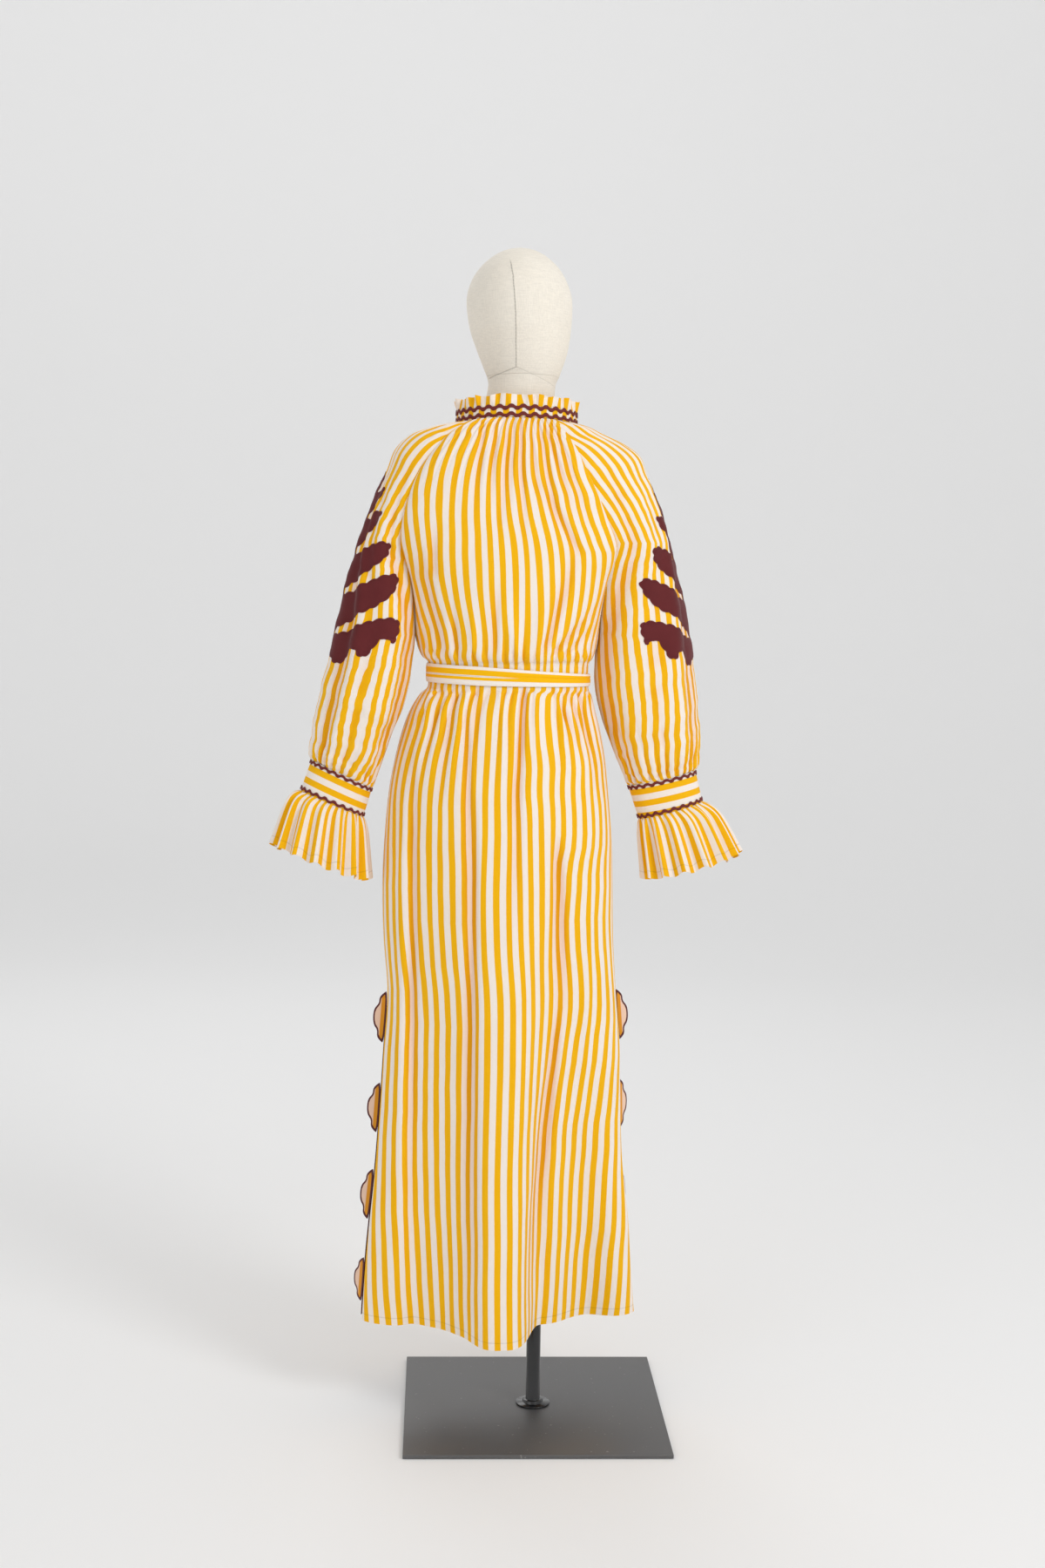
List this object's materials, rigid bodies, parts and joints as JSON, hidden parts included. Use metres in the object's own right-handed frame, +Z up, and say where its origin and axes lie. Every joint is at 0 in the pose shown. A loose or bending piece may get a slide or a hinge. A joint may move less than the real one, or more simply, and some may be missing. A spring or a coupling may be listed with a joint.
{
  "type": "kaftan on dress form",
  "caption": "Long belted kaftan in vertical stripes with frilled neck and cuffs, on a limbless dress form with a pole and square base.",
  "frame": {"origin": "on the floor, at the centre of the base plate's underside, below the pole", "axes": "+Z up along the pole; the front of the kaftan faces -Y and the wearer's left side is +X; the plate is turned 5.65 degrees about Z as in the picture"},
  "size_m": [0.7261, 0.4374, 1.783],
  "materials": {
    "striped_cotton": "matt woven cotton, marigold and white stripes",
    "maroon_cotton": "matt maroon cotton",
    "linen": "unbleached linen over a firm form",
    "black_pole": "gloss black",
    "dark_steel": "dark grey satin"
  },
  "bodies": {
    "root": {"back": "striped_cotton", "front": "striped_cotton", "sleeve_left": "striped_cotton", "sleeve_right": "striped_cotton", "applique_left": "maroon_cotton", "applique_right": "maroon_cotton", "cuff_left": "striped_cotton", "cuff_right": "striped_cotton", "flounce_left": "striped_cotton", "flounce_right": "striped_cotton", "neckband": "striped_cotton", "neck_ruffle": "striped_cotton", "neck_ricrac_lower": "maroon_cotton", "neck_ricrac_upper": "maroon_cotton", "cuff_ricrac_left_upper": "maroon_cotton", "cuff_ricrac_left_lower": "maroon_cotton", "cuff_ricrac_right_upper": "maroon_cotton", "cuff_ricrac_right_lower": "maroon_cotton", "belt": "striped_cotton", "belt_knot": "striped_cotton", "belt_tail_left": "striped_cotton", "belt_tail_right": "striped_cotton", "form_torso": "linen", "form_head": "linen", "pole": "black_pole", "base_plate": "dark_steel"}
  },
  "joints": []
}
